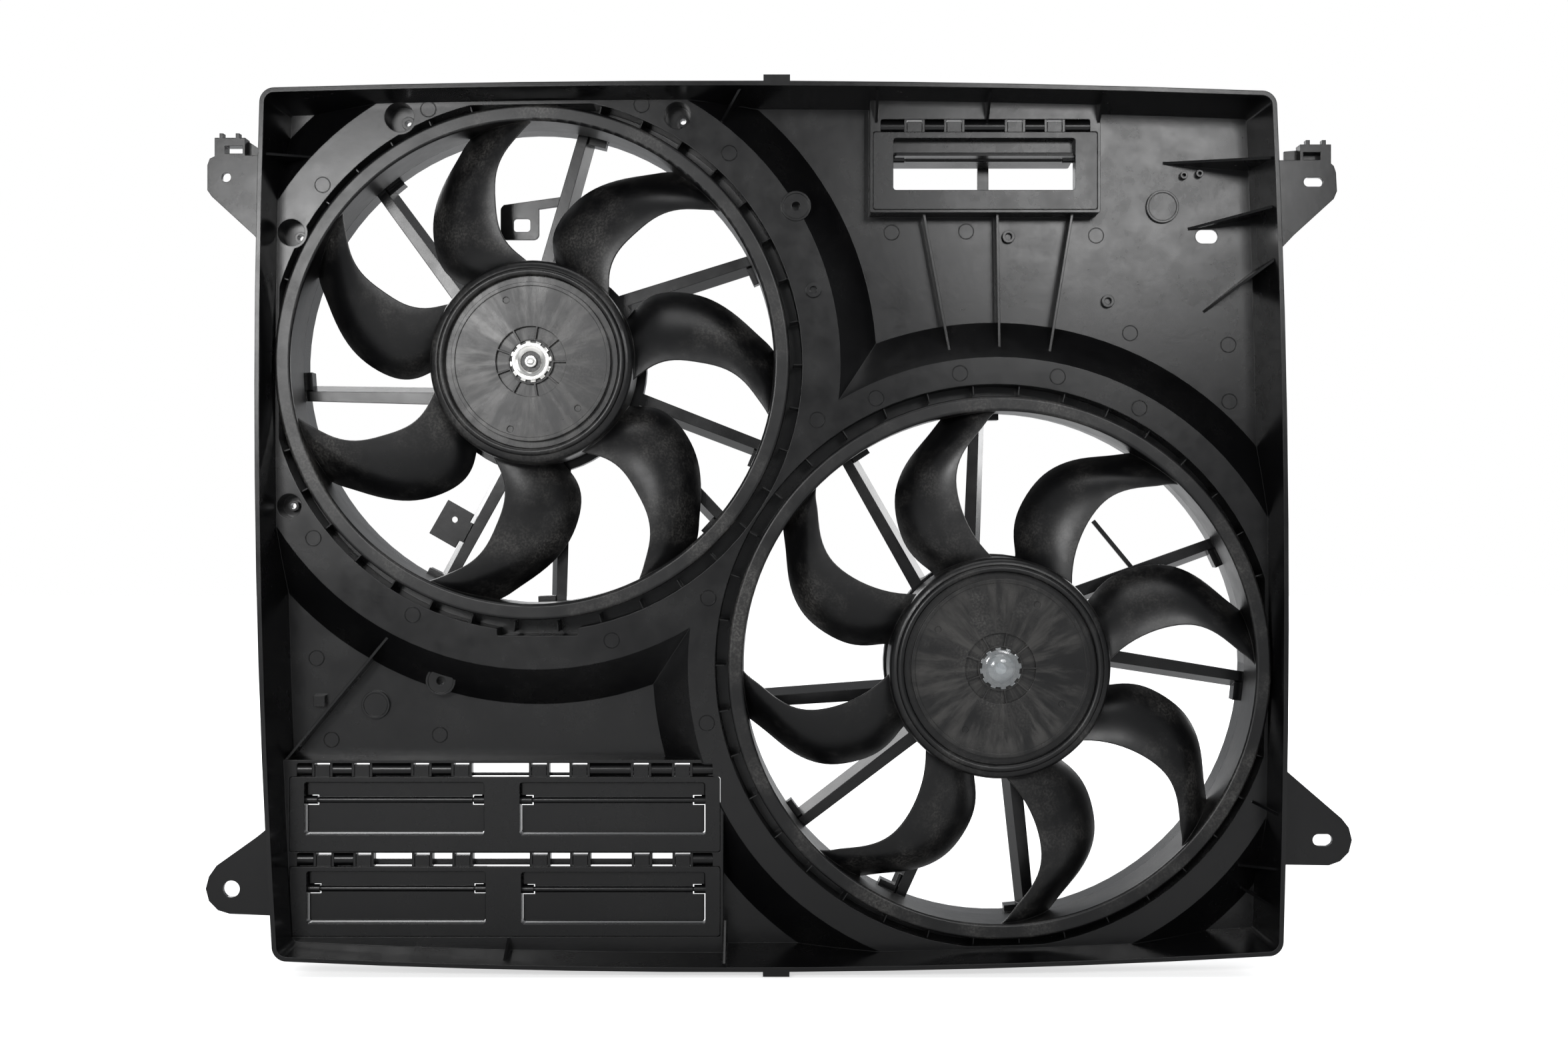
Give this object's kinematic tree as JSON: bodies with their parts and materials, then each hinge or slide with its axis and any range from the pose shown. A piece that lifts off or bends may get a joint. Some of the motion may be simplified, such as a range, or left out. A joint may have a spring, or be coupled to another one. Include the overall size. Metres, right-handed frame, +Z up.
{
  "type": "radiator cooling fan",
  "caption": "Flat radiator fan module: rectangular moulded shroud with ring fans on stator-mounted motors, fixing ears and hinged ram-air flaps.",
  "frame": {"origin": "middle of the rectangle of the rim's front plane, where the module meets the radiator", "axes": "+X to the right seen from the radiator side, +Z up, +Y to the rear, away from the radiator and along the air flow"},
  "size_m": [0.7851, 0.098, 0.6093],
  "materials": {
    "shroud_plastic": "moulded, fine texture",
    "carrier_plastic": "moulded, fine texture",
    "flap_plastic": "moulded, fine texture",
    "fan_plastic": "moulded, satin",
    "retainer_steel": "stamped and hardened",
    "retainer_nylon": "natural moulded",
    "can_steel": "plated",
    "cover_aluminium": "cast",
    "bush_bronze": "sintered",
    "flange_steel": "pressed",
    "screw_steel": "zinc plated",
    "magnet_ferrite": "sintered",
    "brush_plate_plastic": "moulded",
    "brush_carbon": "pressed carbon",
    "shaft_steel": "ground",
    "core_steel": "laminated",
    "winding_copper": "enamelled wire",
    "commutator_copper": "turned"
  },
  "bodies": {
    "shroud": {"shroud": "shroud_plastic", "flap_carrier_upper": "carrier_plastic", "flap_carrier_middle": "carrier_plastic", "flap_carrier_lower": "carrier_plastic", "motor_can_left": "can_steel", "motor_rear_cover_left": "cover_aluminium", "front_bearing_left": "bush_bronze", "rear_bearing_left": "bush_bronze", "motor_flange_left": "flange_steel", "motor_screws_left": "screw_steel", "magnets_left": "magnet_ferrite", "brush_plate_left": "brush_plate_plastic", "brushes_left": "brush_carbon", "motor_can_right": "can_steel", "motor_rear_cover_right": "cover_aluminium", "front_bearing_right": "bush_bronze", "rear_bearing_right": "bush_bronze", "motor_flange_right": "flange_steel", "motor_screws_right": "screw_steel", "magnets_right": "magnet_ferrite", "brush_plate_right": "brush_plate_plastic", "brushes_right": "brush_carbon"},
    "fan_left": {"fan_left": "fan_plastic", "retainer_left": "retainer_steel", "shaft_left": "shaft_steel", "armature_core_left": "core_steel", "windings_left": "winding_copper", "commutator_left": "commutator_copper"},
    "fan_right": {"fan_right": "fan_plastic", "retainer_right": "retainer_nylon", "shaft_right": "shaft_steel", "armature_core_right": "core_steel", "windings_right": "winding_copper", "commutator_right": "commutator_copper"},
    "flap_upper": {"flap_upper": "flap_plastic"},
    "flap_middle_left": {"flap_middle_left": "flap_plastic"},
    "flap_middle_right": {"flap_middle_right": "flap_plastic"},
    "flap_lower_left": {"flap_lower_left": "flap_plastic"},
    "flap_lower_right": {"flap_lower_right": "flap_plastic"}
  },
  "joints": [
    {"name": "fan_left_spin", "type": "hinge", "parent": "shroud", "child": "fan_left", "pos_m": [-0.164, 0.02, 0.1125], "axis": [0, 1, 0], "continuous": true},
    {"name": "fan_right_spin", "type": "hinge", "parent": "shroud", "child": "fan_right", "pos_m": [0.155, 0.02, -0.096], "axis": [0, 1, 0], "continuous": true},
    {"name": "flap_upper_swing", "type": "hinge", "parent": "shroud", "child": "flap_upper", "pos_m": [0.14645, 0.041, 0.25618], "axis": [1, 0, 0], "range_deg": [-88, 2]},
    {"name": "flap_middle_left_swing", "type": "hinge", "parent": "shroud", "child": "flap_middle_left", "pos_m": [-0.26175, 0.041, -0.18964], "axis": [1, 0, 0], "range_deg": [-3, 87]},
    {"name": "flap_middle_right_swing", "type": "hinge", "parent": "shroud", "child": "flap_middle_right", "pos_m": [-0.11075, 0.041, -0.18984], "axis": [1, 0, 0], "range_deg": [-3, 87]},
    {"name": "flap_lower_left_swing", "type": "hinge", "parent": "shroud", "child": "flap_lower_left", "pos_m": [-0.2605, 0.041, -0.25123], "axis": [1, 0, 0], "range_deg": [-3, 87]},
    {"name": "flap_lower_right_swing", "type": "hinge", "parent": "shroud", "child": "flap_lower_right", "pos_m": [-0.11025, 0.041, -0.25176], "axis": [1, 0, 0], "range_deg": [-3, 87]}
  ]
}
